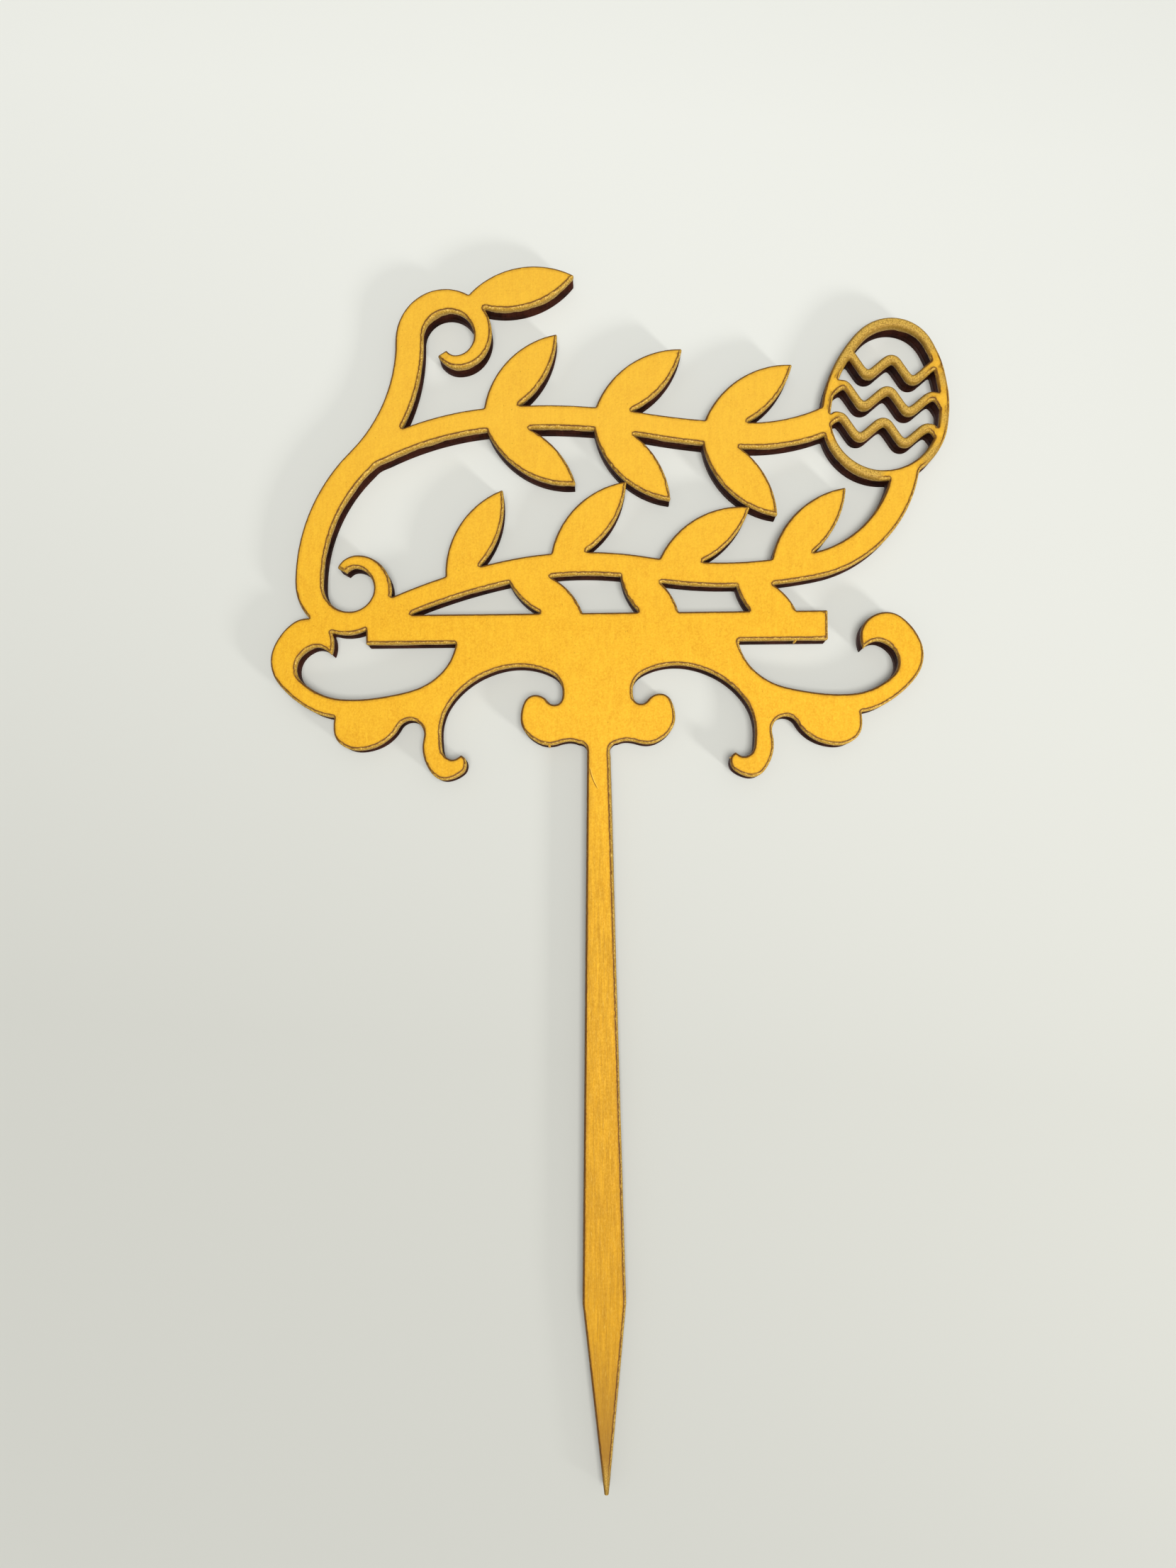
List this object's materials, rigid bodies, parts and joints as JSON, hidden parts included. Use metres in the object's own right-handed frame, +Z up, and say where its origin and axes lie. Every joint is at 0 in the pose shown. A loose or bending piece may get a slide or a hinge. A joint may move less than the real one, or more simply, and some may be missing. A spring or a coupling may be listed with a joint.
{
  "type": "cake topper",
  "caption": "Flat gold-painted plywood cake topper: a leafy scroll head with an egg stands on a bar and scroll base over a long pointed stake.",
  "frame": {"origin": "on the stake's axis at its shoulder, where the topper meets the top of the cake, halfway through the sheet", "axes": "+Z up along the stake towards the head, +X to the right seen from the painted front, +Y through the sheet towards the back"},
  "size_m": [0.1054, 0.003, 0.1903],
  "materials": {
    "gold_front": "gold metallic paint over upright grain, charred cut edge",
    "core_wood": "cross-grain veneer, charred cut edge",
    "back_wood": "bare upright grain, charred cut edge"
  },
  "bodies": {
    "root": {"front_veneer": "gold_front", "core_veneer": "core_wood", "back_veneer": "back_wood"}
  },
  "joints": []
}
